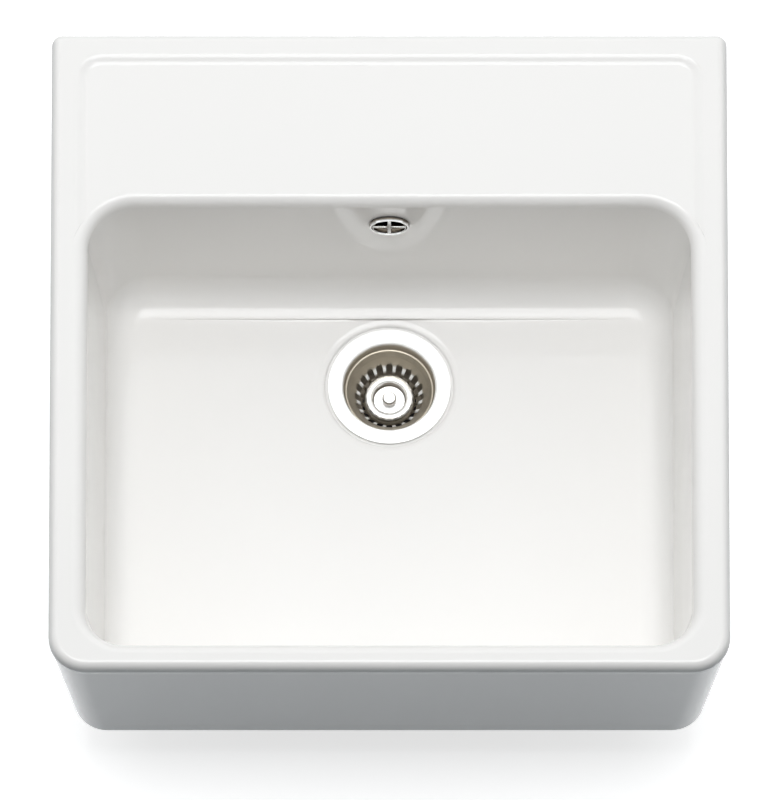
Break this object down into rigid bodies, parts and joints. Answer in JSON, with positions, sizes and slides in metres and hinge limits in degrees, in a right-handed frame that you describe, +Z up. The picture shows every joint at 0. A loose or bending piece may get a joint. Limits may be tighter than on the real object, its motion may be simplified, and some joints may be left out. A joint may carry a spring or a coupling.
{
  "type": "farmhouse apron front sink",
  "caption": "White glazed ceramic apron front sink: one wide bowl, a plain tap ledge behind it, a basket strainer waste and a round overflow grille.",
  "frame": {"origin": "on the underside of the base, under the middle of the bowl's opening", "axes": "+X to the right as seen from the front, +Y from the apron towards the tap ledge and the wall, +Z up"},
  "size_m": [0.595, 0.6, 0.3],
  "materials": {
    "glaze": "gloss white glaze",
    "polished_steel": "polished",
    "basket_steel": "brushed",
    "chrome": "polished",
    "brass": "machined",
    "black_rubber": "matt",
    "grey_rubber": "matt",
    "white_plastic": "satin moulded"
  },
  "bodies": {
    "sink": {"ceramic_body": "glaze", "waste_flange_cup": "polished_steel", "flange_gasket": "grey_rubber", "under_gasket": "black_rubber", "waste_lower_body": "white_plastic", "brass_insert": "brass", "clamp_screw": "polished_steel", "overflow_grille": "chrome", "overflow_front_seal": "black_rubber", "overflow_rear_gasket": "black_rubber", "overflow_elbow": "white_plastic", "elbow_nut": "white_plastic", "elbow_cone_seal": "black_rubber", "overflow_pipe": "white_plastic", "port_nut": "white_plastic", "port_cone_seal": "black_rubber"},
    "strainer_plug": {"basket_pin": "white_plastic", "basket_seal": "black_rubber"},
    "strainer_basket": {"basket_shell": "basket_steel", "basket_cap": "polished_steel", "basket_knob": "polished_steel"}
  },
  "joints": [
    {"name": "basket_lift", "type": "slide", "parent": "sink", "child": "strainer_plug", "axis": [0, 0, 1], "range_m": [0, 0.25]},
    {"name": "basket_turn", "type": "hinge", "parent": "strainer_plug", "child": "strainer_basket", "pos_m": [0, 0.1095, 0], "axis": [0, 0, 1], "continuous": true}
  ]
}
